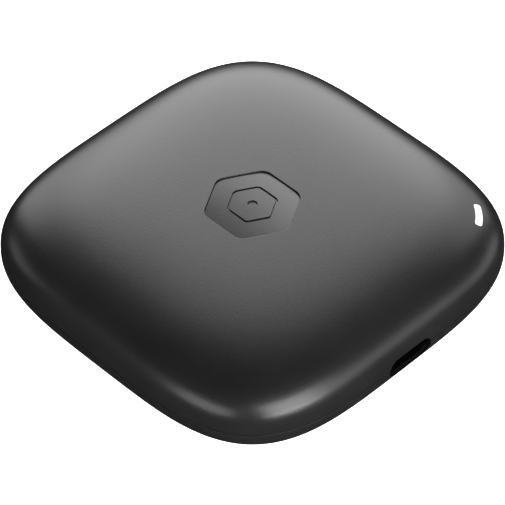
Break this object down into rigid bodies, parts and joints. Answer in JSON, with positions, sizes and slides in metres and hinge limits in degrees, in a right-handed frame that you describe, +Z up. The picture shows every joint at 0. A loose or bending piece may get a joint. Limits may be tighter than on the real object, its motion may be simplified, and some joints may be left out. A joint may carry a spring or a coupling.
{
  "type": "portable solid-state drive",
  "caption": "Palm-size sealed storage drive: square-round two-cover housing, USB-C port in one side, curved status light by a corner, hexagonal inlay on the domed top, circuit board inside.",
  "frame": {"origin": "centre of the rubber foot's underside", "axes": "+Z up, +X out of the USB-C port, the status light is near the +X +Y corner"},
  "size_m": [0.0627, 0.0628, 0.0165],
  "materials": {
    "housing": "satin with a fine grain, very dark neutral grey",
    "inlay": "satin, very dark neutral grey",
    "diffuser": "milky white",
    "foot_rubber": "matte",
    "adhesive": "translucent film",
    "screw_steel": "machined",
    "receptacle_steel": "black plating",
    "black_plastic": "moulded black",
    "circuit_board": "solder mask",
    "package_epoxy": "moulded epoxy",
    "ceramic": "fired ceramic",
    "metal_can": "plated lid",
    "thermal_pad": "soft pad",
    "aluminium": "extruded",
    "foam": "open-cell foam"
  },
  "bodies": {
    "root": {"top_cover": "housing", "bottom_cover": "housing", "emblem_plate": "inlay", "light_pipe": "diffuser", "foot_pad": "foot_rubber", "foot_adhesive": "adhesive", "usb_c_shell": "receptacle_steel", "usb_c_tongue": "black_plastic", "main_board": "circuit_board", "controller_chip": "package_epoxy", "bridge_chip": "package_epoxy", "power_chip": "package_epoxy", "protection_diode": "package_epoxy", "power_inductor": "ceramic", "clock_crystal": "metal_can", "status_led": "metal_can", "controller_thermal_pad": "thermal_pad", "flash_thermal_pad_1": "thermal_pad", "flash_thermal_pad_2": "thermal_pad", "thermal_frame": "aluminium", "cover_thermal_pad": "thermal_pad", "support_foam": "foam", "case_screw_1": "screw_steel", "flash_chip_1": "package_epoxy", "bulk_capacitor_1": "ceramic", "case_screw_2": "screw_steel", "flash_chip_2": "package_epoxy", "bulk_capacitor_2": "ceramic", "case_screw_3": "screw_steel", "flash_chip_3": "package_epoxy", "bulk_capacitor_3": "ceramic", "case_screw_4": "screw_steel", "flash_chip_4": "package_epoxy", "bulk_capacitor_4": "ceramic"}
  },
  "joints": []
}
